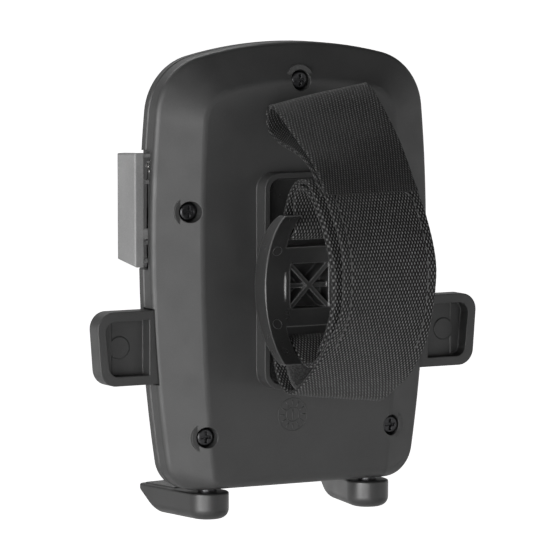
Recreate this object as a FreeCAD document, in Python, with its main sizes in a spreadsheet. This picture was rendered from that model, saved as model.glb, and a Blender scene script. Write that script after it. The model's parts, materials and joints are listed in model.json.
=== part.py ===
"""Phone handlebar mount: a spring-jaw phone cradle carried on a strap saddle.

Lengths are in millimetres. X runs along the handlebar, +Y points from the handlebar
towards the phone and +Z is up. The origin is the centre of the handlebar that the
strap holds against the saddle. "Depth" is measured forwards from the cradle's flat
rear panel, so a depth below zero lies between the panel and the handlebar.
"""
import FreeCAD, Part
import math
import os
import re

import Sketcher

VECTOR = FreeCAD.Vector

DIMENSIONS = [
    # cradle body, seen from behind
    ("panel_y", 26.0, "rear panel plane, forwards of the handlebar axis"),
    ("base_z", -49.4, "bottom edge of the cradle"),
    ("body_height", 105.2, "cradle height"),
    ("body_half", 37.4, "half of the largest width"),
    ("widest_z", 9.0, "height at which the cradle is widest"),
    ("side_radius", 336.0, "bow of the sides"),
    ("arch_radius", 105.0, "bow of the top"),
    ("top_corner", 14.5, "upper corner radius"),
    ("bottom_corner", 8.0, "lower corner radius"),
    ("panel_half", 26.4, "half width of the flat rear panel"),
    ("panel_side_radius", 500.0, "bow of the panel sides"),
    ("panel_drop", 9.0, "top bevel width"),
    ("panel_lift", 0.7, "bottom bevel width"),
    ("panel_corner", 8.0, "panel upper corner radius"),
    ("panel_foot_corner", 3.0, "panel lower corner radius"),
    ("rim_depth", 4.9, "depth at which the bevel meets the side wall"),
    ("parting_depth", 9.1, "depth of the parting line"),
    ("front_rim_depth", 11.3, "depth at which the front bevel starts"),
    ("face_depth", 17.0, "depth of the front face"),
    ("face_inset", 3.8, "width of the front bevel"),
    ("parting_groove", 0.4, "chamfer along the parting line"),
    ("wall", 1.7, "wall thickness of both covers"),
    ("rim_fillet", 1.6, "rounding between bevel and side wall"),
    ("panel_fillet", 3.0, "rounding between panel and bevel"),
    # socket collar on the rear panel
    ("collar_half", 12.1, "half width of the socket collar"),
    ("collar_tall", 25.5, "half height of the socket collar"),
    ("collar_rise", 4.1, "height of the collar above the panel"),
    ("collar_corner", 4.0, "collar corner radius"),
    ("collar_lip", 1.3, "width of the collar lip"),
    ("socket_floor", 1.2, "height of the socket floor above the panel"),
    # saddle
    ("saddle_half", 18.0, "half width of the saddle along the handlebar"),
    ("saddle_tall", 17.3, "half height of the saddle"),
    ("cradle_rise", 14.9, "height of the saddle's hollow above the panel"),
    ("cradle_radius", 20.5, "radius of the saddle's hollow"),
    ("back_rise", 9.8, "height of the saddle's underside above the panel"),
    ("back_radius", 18.4, "radius of the saddle's underside"),
    ("rail_inner", 13.6, "half distance between the side rails"),
    ("crossbar_tall", 9.3, "half height of the web between the strap slots"),
    ("horn_rod_z", 15.2, "height of each rod between the horns"),
    ("horn_rod_rise", 17.2, "height of each rod's middle above the panel"),
    ("horn_rod_radius", 1.4, "radius of each rod"),
    ("block_tall", 6.6, "half height of the cored block"),
    ("block_rise", 15.2, "height of the cored block above the panel"),
    ("cell_depth", 4.0, "depth of the cells in the block"),
    ("cell_rib", 1.1, "rib thickness in the cells"),
    ("cell_wall", 1.7, "wall thickness around the cells"),
    ("post_half", 9.0, "half width of the post under the block"),
    ("post_tall", 6.4, "half height of the post under the block"),
    ("foot_plate", 1.6, "thickness of the plate in the socket"),
    # strap
    ("strap_half", 12.5, "half of the webbing width"),
    ("web", 1.4, "webbing thickness"),
    ("tape", 0.8, "thickness of the hook tape sewn to the webbing"),
    ("tape_half", 10.0, "half of the hook tape's width"),
    # arms and jaws
    ("arm_z", -14.9, "height of the arms' middle"),
    ("arm_tall", 8.7, "half height of an arm"),
    ("arm_reach", 51.6, "outer end of an arm when open"),
    ("arm_depth", 5.2, "depth of an arm's rear face"),
    ("arm_thick", 4.4, "thickness of an arm"),
    ("arm_corner", 4.0, "outer corner radius of an arm"),
    ("arm_slant", 1.3, "slant of an arm's outer end"),
    ("arm_recess", 3.4, "depth of the hollow in an arm's back"),
    ("arm_rim", 2.2, "rim around that hollow"),
    ("arm_inner", 28.6, "inner edge of an arm's full-height part"),
    ("jaw_root_x", 48.6, "distance of a jaw's outer root from the middle"),
    ("jaw_tip_x", 40.0, "distance of a jaw's tip from the middle"),
    ("jaw_tip_depth", 26.5, "depth of a jaw's tip"),
    ("jaw_thick", 2.2, "thickness of a jaw"),
    ("jaw_inset", 2.6, "how far a jaw stops short of the arm's upper and lower edges"),
    ("jaw_pad", 1.4, "thickness of a jaw's rubber pad"),
    ("rack_low", 4.4, "distance of a rack's back web from the pinion centre"),
    ("rack_end", 9.4, "end of a rack past the middle"),
    ("pitch_radius", 5.0, "pitch radius of the pinion"),
    ("tooth_tall", 0.75, "tooth height on each side of the pitch line"),
    ("pinion_bore", 1.6, "radius of the pinion's bore"),
    ("running_gap", 0.3, "clearance between sliding pieces"),
    ("pawl_x", 12.0, "distance of the pawl's pin from the middle"),
    ("pawl_z", 4.5, "height of the pawl's pin"),
    ("plate_rise", 10.2, "depth of the mechanism plate's rear face"),
    ("plate_thick", 1.2, "thickness of the mechanism plate"),
    # release button
    ("button_reach", 40.5, "outer face of the button from the middle"),
    ("button_cap", 2.3, "thickness of the button's cap"),
    ("button_low", 3.8, "lower end of the button"),
    ("button_high", 30.6, "upper end of the button"),
    ("button_depth", 7.3, "depth of the button's rear face"),
    ("button_front", 16.5, "depth of the button's front face"),
    ("button_taper", 1.3, "taper of the button's lower end towards the front"),
    ("button_top_taper", 0.5, "taper of the button's upper end towards the front"),
    ("button_gap", 0.6, "clearance around the button"),
    ("button_travel", 2.6, "travel of the button"),
    ("button_wall_x", 34.3, "distance of the wall behind the button from the middle"),
    ("push_low", 10.4, "lower side of the button's push rod"),
    ("spring_z", 27.0, "height of the button's spring"),
    ("spring_depth", 10.4, "depth of the button's spring"),
    # feet
    ("foot_x", 21.8, "distance of a foot's pivot from the middle"),
    ("foot_depth", 6.7, "depth of a foot's pivot"),
    ("foot_gap", 0.6, "gap between a foot and the cradle"),
    ("foot_heel", 5.15, "radius of a foot's heel"),
    ("foot_length", 21.8, "reach of a foot ahead of its pivot"),
    ("foot_toe_half", 4.6, "half width of a foot at its toe"),
    ("foot_tall", 6.4, "thickness of a foot"),
    ("foot_splay", 8.5, "outward turn of each foot, in degrees"),
    ("stem_radius", 2.2, "radius of a foot's stem"),
    ("stem_top", 22.0, "height of a stem's top above the cradle's bottom"),
    # fasteners
    ("head_radius", 2.2, "screw head radius"),
    ("head_tall", 1.7, "screw head height"),
    ("thread_radius", 1.1, "screw thread radius"),
    ("counterbore", 2.5, "counterbore radius"),
    ("boss_radius", 3.7, "screw boss radius"),
]

# Screw places on the rear: distance from the middle, height above the bottom edge, head depth.
COVER_SCREWS = [(0.0, 96.3, 0.9), (29.0, 66.2, 2.2), (-29.0, 66.2, 2.2),
                (25.0, 13.0, 1.3), (-25.0, 13.0, 1.3)]
# Heights of the button's guide legs.
BUTTON_LEGS = [5.2, 9.5, 23.7, 29.9]
PLATE_SCREWS = [(24.0, 51.9), (-24.0, 51.9), (8.0, 20.9), (-8.0, 20.9)]

doc = FreeCAD.newDocument("phone_handlebar_mount")
sheet = doc.addObject("Spreadsheet::Sheet", "Dimensions")
for row, (alias, value, note) in enumerate(DIMENSIONS, 1):
    sheet.set(f"A{row}", note)
    sheet.set(f"B{row}", str(value))
    sheet.setAlias(f"B{row}", alias)
doc.recompute()

VALUES = {alias: value for alias, value, note in DIMENSIONS}
WORD = re.compile(r"[a-z_]+")
nodes = {}


def dim(alias):
    """The value of one cell of the sheet."""
    return float(sheet.get(alias))


def linked(text):
    """An expression written with plain aliases, pointed at the sheet."""
    def point(match):
        word = match.group(0)
        return f"Dimensions.{word}" if word in VALUES else word
    return WORD.sub(point, str(text))


def bind(item, **expressions):
    """Bind properties to expressions; two underscores in a name stand for a dot."""
    for name, text in expressions.items():
        item.setExpression(name.replace("__", "."), linked(text))
    return item


def keep(node, item):
    """Name a finished sub-part."""
    item.Label = node
    nodes[node] = item
    return item


# ---------------------------------------------------------------- primitives and booleans

def box(name, x, y, z):
    """A block between two expressions along each axis."""
    item = doc.addObject("Part::Box", name)
    return bind(item,
                Length=f"({x[1]}) - ({x[0]})", Width=f"({y[1]}) - ({y[0]})",
                Height=f"({z[1]}) - ({z[0]})", Placement__Base__x=x[0],
                Placement__Base__y=y[0], Placement__Base__z=z[0])


TURN = {
    "x": FreeCAD.Rotation(VECTOR(0, 1, 0), 90),
    "y": FreeCAD.Rotation(VECTOR(1, 0, 0), -90),
    "z": FreeCAD.Rotation(),
}


def rod(name, axis, start, radius, length):
    """A cylinder from a start point along an axis."""
    item = doc.addObject("Part::Cylinder", name)
    item.Placement = FreeCAD.Placement(VECTOR(), TURN[axis])
    return bind(item, Radius=radius, Height=length, Placement__Base__x=start[0],
                Placement__Base__y=start[1], Placement__Base__z=start[2])


def fuse(name, *pieces):
    item = doc.addObject("Part::MultiFuse", name)
    item.Shapes = list(pieces)
    item.Refine = True
    return item


def cut(name, base, *tools):
    item = doc.addObject("Part::Cut", name)
    item.Base = base
    item.Tool = tools[0] if len(tools) == 1 else fuse(name + "_tools", *tools)
    item.Refine = True
    return item


def common(name, base, tool):
    item = doc.addObject("Part::Common", name)
    item.Base = base
    item.Tool = tool
    item.Refine = True
    return item


def group(name, *pieces):
    """Separate solids that share a node."""
    item = doc.addObject("Part::Compound", name)
    item.Links = list(pieces)
    return item


def rounded(name, base, radius, chosen):
    """Fillet the edges of a base that a test chooses."""
    doc.recompute()
    item = doc.addObject("Part::Fillet", name)
    item.Base = base
    edges = enumerate(base.Shape.Edges, 1)
    item.Edges = [(number, radius, radius) for number, edge in edges if chosen(edge)]
    return item


def along(axis):
    """A test for straight edges that run along an axis."""
    def test(edge):
        span = edge.BoundBox
        lengths = {"x": span.XLength, "y": span.YLength, "z": span.ZLength}
        return lengths[axis] > 0.1 and lengths[axis] > 0.999 * edge.Length
    return test


def tube(name, axis, start, outer, inner, length):
    return cut(name, rod(name + "_outer", axis, start, outer, length),
               rod(name + "_inner", axis, start, inner, length))


def fixed(name, shape):
    """A shape made with Part's own functions, sized from the sheet."""
    item = doc.addObject("Part::Feature", name)
    item.Shape = shape
    return item


def y_at(depth):
    """The expression for a depth measured from the rear panel."""
    return f"panel_y + ({depth})"


# ---------------------------------------------------------------- cradle outline

RIM = {"half": dim("body_half"), "top": dim("base_z") + dim("body_height"),
       "bottom": dim("base_z"), "side": dim("side_radius"), "arch": dim("arch_radius"),
       "upper": dim("top_corner"), "lower": dim("bottom_corner")}
PANEL = {"half": dim("panel_half"), "top": RIM["top"] - dim("panel_drop"),
         "bottom": dim("base_z") + dim("panel_lift"), "side": dim("panel_side_radius"),
         "arch": dim("arch_radius") - dim("panel_drop"), "upper": dim("panel_corner"),
         "lower": dim("panel_foot_corner")}


def corner_centre(shape):
    """Centre of the upper corner arc, tangent inside the side arc and the top arc."""
    side_x, side_z = shape["half"] - shape["side"], dim("widest_z")
    arch_z = shape["top"] - shape["arch"]
    reach_side, reach_arch = shape["side"] - shape["upper"], shape["arch"] - shape["upper"]
    span = math.hypot(side_x, arch_z - side_z)
    along_span = (reach_side ** 2 - reach_arch ** 2 + span ** 2) / (2 * span)
    rise = math.sqrt(reach_side ** 2 - along_span ** 2)
    unit_x, unit_z = -side_x / span, (arch_z - side_z) / span
    return (side_x + along_span * unit_x - rise * unit_z,
            side_z + along_span * unit_z + rise * unit_x)


def outline(shape, inset=0.0):
    """The cradle outline as a bottom line and seven tangent arcs, counter-clockwise."""
    side_centre = (shape["half"] - shape["side"], dim("widest_z"))
    arch_centre = (0.0, shape["top"] - shape["arch"])
    upper = corner_centre(shape)
    lower_z = shape["bottom"] + shape["lower"]
    lower_reach = shape["side"] - shape["lower"]
    lower = (side_centre[0] + math.sqrt(lower_reach ** 2 - (lower_z - side_centre[1]) ** 2), lower_z)

    def outward(centre, towards, radius):
        angle = math.atan2(towards[1] - centre[1], towards[0] - centre[0])
        return (centre[0] + radius * math.cos(angle), centre[1] + radius * math.sin(angle))

    def arc(start, end, centre, radius):
        middle = ((start[0] + end[0]) / 2, (start[1] + end[1]) / 2)
        return (start, outward(centre, middle, radius), end)

    bottom = (lower[0], shape["bottom"] + inset)
    low_side = outward(side_centre, lower, shape["side"] - inset)
    high_side = outward(side_centre, upper, shape["side"] - inset)
    shoulder = outward(arch_centre, upper, shape["arch"] - inset)
    crown = (0.0, shape["top"] - inset)
    right = [arc(bottom, low_side, lower, shape["lower"] - inset),
             arc(low_side, high_side, side_centre, shape["side"] - inset),
             arc(high_side, shoulder, upper, shape["upper"] - inset)]
    left = [tuple((-x, z) for x, z in reversed(piece)) for piece in reversed(right)]
    top = [(shoulder, crown, (-shoulder[0], shoulder[1]))]
    base = [((-bottom[0], bottom[1]), (bottom[0], bottom[1]))]
    return base + right + top + left


def origin_plane(body, role):
    return next(plane for plane in body.Origin.OriginFeatures if plane.Role == role)


def section(body, name, pieces, depth):
    """A closed sketch of lines and arcs across the cradle at a depth."""
    sketch = body.newObject("Sketcher::SketchObject", name)
    sketch.AttachmentSupport = [(origin_plane(body, "XZ_Plane"), "")]
    sketch.MapMode = "FlatFace"
    bind(sketch, AttachmentOffset__Base__z=f"-({y_at(depth)})")
    for piece in pieces:
        corners = [VECTOR(x, z, 0) for x, z in piece]
        curve = Part.LineSegment(*corners) if len(corners) == 2 else Part.Arc(*corners)
        sketch.addGeometry(curve)
    for number in range(len(pieces)):
        following = (number + 1) % len(pieces)
        sketch.addConstraint(Sketcher.Constraint("Coincident", number, 2, following, 1))
    return sketch


def loft(body, kind, name, sections):
    """A ruled loft through sketches, adding or cutting."""
    item = body.newObject("PartDesign::" + kind, name)
    item.Profile = sections[0]
    item.Sections = sections[1:]
    item.Ruled = True
    return item


def cover(name, outer, inner):
    """A hollow cover lofted through (outline, inset, depth) sections."""
    body = doc.addObject("PartDesign::Body", name)
    for kind, rings in (("AdditiveLoft", outer), ("SubtractiveLoft", inner)):
        sketches = [section(body, f"{name}_{kind}_{number}", outline(shape, inset), depth)
                    for number, (shape, inset, depth) in enumerate(rings)]
        loft(body, kind, f"{name}_{kind}", sketches)
    doc.recompute()
    return body


def smooth_ring(base, name, radius, depth, outline_shape):
    """Round the ring of edges that lies at one depth on the outline."""
    level = dim("panel_y") + depth

    def on_ring(edge):
        span = edge.BoundBox
        flat = span.YLength < 1e-3 and abs(span.YMin - level) < 1e-3
        bottom_line = span.ZMax < outline_shape["bottom"] + 0.5
        return flat and not bottom_line
    return rounded(name, base, radius, on_ring)


# ---------------------------------------------------------------- rear cover

def screw_xz(screw):
    return str(screw[0]), f"base_z + ({screw[1]})"


def socket_collar():
    """The raised collar that the saddle's foot plate sits in."""
    tall = ("-collar_tall", "collar_tall")
    block = box("collar_block", ("-collar_half", "collar_half"), (y_at("-collar_rise"), y_at("wall / 2")), tall)
    return rounded("collar", block, dim("collar_corner"), along("y"))


def socket_recess():
    side, tall = "collar_half - collar_lip", "collar_tall - collar_lip"
    block = box("socket_block", (f"-({side})", side), (y_at("-collar_rise - 1"), y_at("-socket_floor")),
                (f"-({tall})", tall))
    return rounded("socket_recess", block, dim("collar_corner") - dim("collar_lip"), along("y"))


def rear_cover():
    groove, wall = dim("parting_groove"), dim("wall")
    rim, parting = dim("rim_depth"), dim("parting_depth")
    shell = cover("rear_shell",
                  [(PANEL, 0, 0), (RIM, 0, rim), (RIM, 0, parting - groove), (RIM, groove, parting)],
                  [(PANEL, wall, wall), (RIM, wall, rim + wall / 2), (RIM, wall, parting + 0.01)])
    shell = smooth_ring(shell, "rear_panel_round", dim("panel_fillet"), 0, PANEL)
    shell = smooth_ring(shell, "rear_rim_round", dim("rim_fillet"), rim, RIM)
    bosses = []
    drills = []
    for number, screw in enumerate(COVER_SCREWS):
        x, z = screw_xz(screw)
        seat = screw[2] + dim("head_tall")
        start = (x, y_at(screw[2]), z)
        bosses.append(rod(f"rear_boss_{number}", "y", start, "boss_radius", f"parting_depth - {screw[2]}"))
        drills.append(rod(f"head_well_{number}", "y", (x, y_at(-2), z), "counterbore", f"2 + {seat}"))
        drills.append(rod(f"screw_way_{number}", "y", (x, y_at(-2), z), "thread_radius + 0.2", 20))
    for number, place in enumerate(PLATE_SCREWS):
        x, z = screw_xz(place)
        bosses.append(rod(f"plate_boss_{number}", "y", (x, y_at("wall / 2"), z), 2.4, "plate_rise - wall / 2"))
        drills.append(rod(f"plate_pilot_{number}", "y", (x, y_at(5), z), "thread_radius + 0.05", 6))
    boss_reach = "arm_depth - 0.4 - wall / 2"
    bosses.append(rod("pinion_boss", "y", (0, y_at("wall / 2"), "arm_z"), 3.4, boss_reach))
    drills.append(rod("pinion_pin_hole", "y", (0, y_at(2.5), "arm_z"), 1.5, 8))
    bosses.append(rod("pawl_boss", "y", ("-pawl_x", y_at("wall / 2"), "pawl_z"), 2.6, boss_reach))
    drills.append(rod("pawl_pin_hole", "y", ("-pawl_x", y_at(2.5), "pawl_z"), 1.2, 8))
    for side in (-1, 1):
        drills.append(rod(f"saddle_screw_way_{side + 1}", "y", (side * 6, y_at(-3), 0),
                          "thread_radius + 0.05", 8))
        drills.append(stem_way(f"stem_way_{side + 1}", side))
    arm_gap = ("arm_z - arm_tall - running_gap", "arm_z + arm_tall + running_gap")
    arm_deep = (y_at("arm_depth - running_gap"), y_at("arm_depth + arm_thick + running_gap"))
    drills.append(box("arm_slots", (-45, 45), arm_deep, arm_gap))
    hull = cut("rear_notched", shell, button_notch("rear_button_notch"))
    well, well_cuts = button_well()
    solid = fuse("rear_solid", hull, socket_collar(), *bosses, *well)
    keep("rear_cover", cut("rear_cut", solid, socket_recess(), *drills, *well_cuts))


def button_well():
    """The wall behind the button with its spring cup, and the openings cut through it."""
    wall_x = ("-button_wall_x", "-button_wall_x + 1.4")
    wall = box("well_wall", wall_x, (y_at("rim_depth - 0.7"), y_at("front_rim_depth + 1.2")),
               ("button_low - 1.2", "button_high + 1.2"))
    cup = rod("spring_cup", "x", ("-button_wall_x + 1.2", y_at("spring_depth"), "spring_z"), 2.7, 5.2)
    cuts = [rod("spring_room", "x", ("-button_wall_x - 1", y_at("spring_depth"), "spring_z"), 1.9, 6.4),
            box("push_way", ("-button_wall_x - 1", "-button_wall_x + 3"),
                (y_at("button_depth - 0.3"), y_at("button_depth + 1.8")), ("push_low - 0.4", "push_low + 2.8"))]
    cuts += [box(f"leg_way_{number}", ("-button_wall_x - 1", "-button_wall_x + 3"),
                 (y_at("button_depth + 0.2"), y_at("button_depth + 2.8")), (z - 0.85, z + 0.85))
             for number, z in enumerate(BUTTON_LEGS)]
    return [wall, cup], cuts


def stem_way(name, side):
    """The bore a foot's stem slides in."""
    return rod(name, "z", (f"{side} * foot_x", y_at("foot_depth"), "base_z - 1"),
               "stem_radius + 0.3", "stem_top + 2")


def button_notch(name):
    """The room the button needs in one of the covers."""
    return box(name, (-45, "-button_wall_x"), (y_at("button_depth - button_gap"), y_at("face_depth + 1")),
               ("button_low - button_gap", "button_high + button_gap * 0.7"))


# ---------------------------------------------------------------- front cover and phone pad

def front_cover():
    groove, wall, inset = dim("parting_groove"), dim("wall"), dim("face_inset")
    parting, rim, face = dim("parting_depth"), dim("front_rim_depth"), dim("face_depth")
    shell = cover("front_shell",
                  [(RIM, groove, parting), (RIM, 0, parting + groove), (RIM, 0, rim), (RIM, inset, face)],
                  [(RIM, wall, parting - 0.01), (RIM, wall, rim), (RIM, inset + wall / 2, face - wall)])
    bosses = []
    drills = []
    for number, screw in enumerate(COVER_SCREWS):
        x, z = screw_xz(screw)
        bosses.append(rod(f"front_boss_{number}", "y", (x, y_at("parting_depth + 0.02"), z), 3.0,
                          "face_depth - parting_depth - wall / 2"))
        drills.append(rod(f"front_pilot_{number}", "y", (x, y_at("parting_depth - 1"), z),
                          "thread_radius + 0.05", 6.5))
    for side in (-1, 1):
        drills.append(stem_way(f"front_stem_way_{side + 1}", side))
    arm_gap = ("arm_z - arm_tall - running_gap", "arm_z + arm_tall + running_gap")
    drills.append(box("front_arm_slots", (-45, 45),
                      (y_at("parting_depth - 1"), y_at("arm_depth + arm_thick + running_gap")), arm_gap))
    drills.append(button_notch("front_button_notch"))
    keep("front_cover", cut("front_cut", fuse("front_solid", shell, *bosses), *drills))


def phone_pad():
    """Rubber mat on the front face, with a row of shallow grooves across it."""
    block = box("pad_block", (-24, 24), (y_at("face_depth"), y_at("face_depth + 1.2")),
                ("base_z + 12", "base_z + 92"))
    mat = rounded("pad_mat", block, 6, along("y"))
    grooves = [box(f"pad_groove_{number}", (-20, 20), (y_at("face_depth + 0.7"), y_at("face_depth + 2")),
                   (f"base_z + {20 + 8 * number}", f"base_z + {21.2 + 8 * number}"))
               for number in range(9)]
    keep("phone_pad", cut("pad_cut", mat, *grooves))


# ---------------------------------------------------------------- screws

def screw(name, head_place, length):
    """A pan-head screw pointing forwards, with a cross recess in its head."""
    x, y, z = head_place
    head = rod(name + "_head", "y", (x, y, z), "head_radius", "head_tall")
    crown = rounded(name + "_crown", head, 0.6,
                    lambda edge: edge.BoundBox.YMax < head.Shape.BoundBox.YMin + 1e-3)
    shank = rod(name + "_shank", "y", (x, f"({y}) + head_tall / 2", z), "thread_radius", length)
    slot = (f"({y}) - 1", f"({y}) + 1.0")
    long_x, long_z = [(f"({middle}) - 1.35", f"({middle}) + 1.35") for middle in (x, z)]
    thin_x, thin_z = [(f"({middle}) - 0.36", f"({middle}) + 0.36") for middle in (x, z)]
    across = box(name + "_slot_x", long_x, slot, thin_z)
    upright = box(name + "_slot_z", thin_x, slot, long_z)
    return cut(name, fuse(name + "_solid", crown, shank), across, upright)


def fasteners():
    covers = []
    for number, place in enumerate(COVER_SCREWS):
        x, z = screw_xz(place)
        covers.append(screw(f"cover_screw_{number}", (x, y_at(place[2]), z), 10.5))
    keep("cover_screws", group("cover_screw_group", *covers))
    plates = []
    for number, place in enumerate(PLATE_SCREWS):
        x, z = screw_xz(place)
        plates.append(reverse_screw(f"plate_screw_{number}", x, y_at("plate_rise + plate_thick"), z, 5))
    keep("plate_screws", group("plate_screw_group", *plates))
    saddles = [reverse_screw(f"saddle_screw_{side + 1}", str(6 * side), y_at("wall"), "0", 10)
               for side in (-1, 1)]
    keep("saddle_screws", group("saddle_screw_group", *saddles))


def reverse_screw(name, x, seat, z, length):
    """A small screw pointing backwards from its seat."""
    head = rod(name + "_head", "y", (x, seat, z), "head_radius", 1.3)
    shank = rod(name + "_shank", "y", (x, f"({seat}) - {length}", z), "thread_radius", f"{length} + 0.5")
    return fuse(name, head, shank)


# ---------------------------------------------------------------- arms, jaws and pinion

def prism(points, axis, low, high):
    """A straight-sided solid from a closed outline of (u, v) points.

    Along "y" the outline lies in X and Z; along "z" it lies in X and Y;
    along "x" it lies in Y and Z.
    """
    place = {"y": lambda u, v: VECTOR(u, low, v), "z": lambda u, v: VECTOR(u, v, low),
             "x": lambda u, v: VECTOR(low, u, v)}[axis]
    unit = {"y": VECTOR(0, 1, 0), "z": VECTOR(0, 0, 1), "x": VECTOR(1, 0, 0)}[axis]
    corners = [place(u, v) for u, v in points]
    return Part.Face(Part.makePolygon(corners + corners[:1])).extrude(unit * (high - low))


def rack_teeth(middle_z, side, start, count):
    """Rack teeth that point from a rack towards the pinion; side is 1 above it, -1 below."""
    pitch = math.pi * 2 * dim("pitch_radius") / 10
    tall, radius = dim("tooth_tall"), dim("pitch_radius")
    low = dim("panel_y") + dim("arm_depth") + 0.4
    high = dim("panel_y") + dim("arm_depth") + dim("arm_thick") - 0.4
    root = middle_z + side * (radius + tall)
    tip = middle_z + side * (radius - tall + 0.15)
    teeth = []
    for number in range(count):
        x = start + pitch * number
        points = [(x - 0.85, root + side * 0.5), (x - 0.85, root), (x - 0.35, tip), (x + 0.35, tip),
                  (x + 0.85, root), (x + 0.85, root + side * 0.5)]
        teeth.append(prism(points, "y", low, high))
    return teeth


def arm(name, side, rack_side):
    """An arm: outer hand with a hollow back, full-height slide, rack bar and jaw."""
    inner, reach = dim("arm_inner"), dim("arm_reach")
    middle, tall = dim("arm_z"), dim("arm_tall")
    rear = dim("panel_y") + dim("arm_depth")
    front = rear + dim("arm_thick")
    slant, corner = dim("arm_slant"), dim("arm_corner")
    plate = prism([(inner, middle - tall), (reach - slant, middle - tall), (reach, middle + tall),
                   (inner, middle + tall)], "y", rear, front)
    ends = [edge for edge in plate.Edges
            if along("y")(edge) and edge.BoundBox.XMin > inner + 1]
    plate = plate.makeFillet(corner, ends)
    rim = dim("arm_rim")
    start = dim("body_half") + 0.4
    recess = prism([(start, middle - tall + rim), (reach - slant - rim, middle - tall + rim),
                    (reach - rim, middle + tall - rim), (start, middle + tall - rim)],
                   "y", rear - 1, rear + dim("arm_recess"))
    inner_ends = [edge for edge in recess.Edges if along("y")(edge) and edge.BoundBox.XMin > start + 1]
    recess = recess.makeFillet(corner - rim + 0.6, inner_ends)
    mark = VECTOR((start + reach) / 2 - 0.6, rear + dim("arm_recess") - 0.25, middle)
    ejector = Part.makeCylinder(2.6, 0.25, mark, VECTOR(0, 1, 0))
    tip_x, tip_y = dim("jaw_tip_x"), dim("panel_y") + dim("jaw_tip_depth")
    thick = dim("jaw_thick")
    root = dim("jaw_root_x")
    jaw_tall = tall - dim("jaw_inset")
    jaw = prism([(root, front - 1.2), (root, front + 1.0), (tip_x + thick / 2, tip_y),
                 (tip_x - thick / 2, tip_y - 0.6), (root - thick * 1.15, front + 0.4),
                 (root - thick * 1.15, front - 1.2)], "z", middle - jaw_tall, middle + jaw_tall)
    edge_height = dim("arm_tall") - dim("rack_low") - 1.6
    web_low = middle + rack_side * (tall - edge_height)
    web_high = middle + rack_side * tall
    bar = prism([(-dim("rack_end"), web_low), (inner + 0.5, web_low), (inner + 0.5, web_high),
                 (-dim("rack_end"), web_high)], "y", rear + 0.4, front - 0.4)
    pitch = math.pi * 2 * dim("pitch_radius") / 10
    shape = plate.cut(recess).fuse([ejector, jaw, bar] + rack_teeth(middle, rack_side, -pitch * 2.5, 10))
    shape = shape.removeSplitter()
    if side < 0:
        shape = shape.mirror(VECTOR(), VECTOR(1, 0, 0))
    return keep(name, fixed(name + "_solid", shape))


def jaw_pad(name, side):
    """Rubber facing on a jaw's inner side, with three grip ribs."""
    front = dim("panel_y") + dim("arm_depth") + dim("arm_thick")
    tip_x, tip_y, thick = dim("jaw_tip_x"), dim("panel_y") + dim("jaw_tip_depth"), dim("jaw_thick")
    base_x = dim("jaw_root_x") - thick * 1.15
    low = VECTOR(base_x, front + 0.4, 0)
    high = VECTOR(tip_x - thick / 2, tip_y - 0.6, 0)
    run = high - low
    run.normalize()
    inward = VECTOR(-run.y, run.x, 0)
    start, end = low + run * 5.0, high - run * 0.8
    skin = dim("jaw_pad")
    corners = [start, end, end + inward * skin, start + inward * skin]
    middle, tall = dim("arm_z"), dim("arm_tall") - dim("jaw_inset") - 0.8
    shape = prism([(point.x, point.y) for point in corners], "z", middle - tall, middle + tall)
    length = (end - start).Length
    for number in range(3):
        place = start + run * (length * (0.2 + 0.3 * number)) + inward * skin
        rib = Part.makeCylinder(0.6, 2 * tall, VECTOR(place.x, place.y, middle - tall), VECTOR(0, 0, 1))
        shape = shape.fuse(rib)
    if side < 0:
        shape = shape.mirror(VECTOR(), VECTOR(1, 0, 0))
    keep(name, fixed(name + "_solid", shape.removeSplitter()))


def pinion():
    """Ten-tooth pinion that keeps the two racks in step."""
    radius, tall = dim("pitch_radius"), dim("tooth_tall")
    low = dim("panel_y") + dim("arm_depth") + 0.4
    high = dim("panel_y") + dim("arm_depth") + dim("arm_thick") - 0.4
    middle = dim("arm_z")
    shape = Part.makeCylinder(radius - tall - 0.25, high - low, VECTOR(0, low, middle), VECTOR(0, 1, 0))
    half_root, half_tip = 0.62, 0.3
    tooth = prism([(-half_root, middle + radius - tall - 0.6), (half_root, middle + radius - tall - 0.6),
                   (half_root, middle + radius), (half_tip, middle + radius + tall - 0.15),
                   (-half_tip, middle + radius + tall - 0.15), (-half_root, middle + radius)],
                  "y", low, high)
    teeth = []
    for number in range(10):
        turned = tooth.copy()
        turned.rotate(VECTOR(0, 0, middle), VECTOR(0, 1, 0), 36 * number)
        teeth.append(turned)
    shape = shape.fuse(teeth)
    bore = Part.makeCylinder(dim("pinion_bore"), high - low + 2, VECTOR(0, low - 1, middle), VECTOR(0, 1, 0))
    keep("sync_pinion", fixed("sync_pinion_solid", shape.cut(bore).removeSplitter()))


def coil(name, axis, centre, mean_radius, wire_radius, turns, pitch):
    """A close-wound spring as a row of touching rings joined into one solid."""
    shape = None
    direction = {"x": VECTOR(1, 0, 0), "y": VECTOR(0, 1, 0)}[axis]
    for number in range(turns):
        place = VECTOR(*centre) + direction * (number * pitch)
        ring = Part.makeTorus(mean_radius, wire_radius, place, direction)
        shape = ring if shape is None else shape.fuse(ring)
    return fixed(name, shape)


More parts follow.
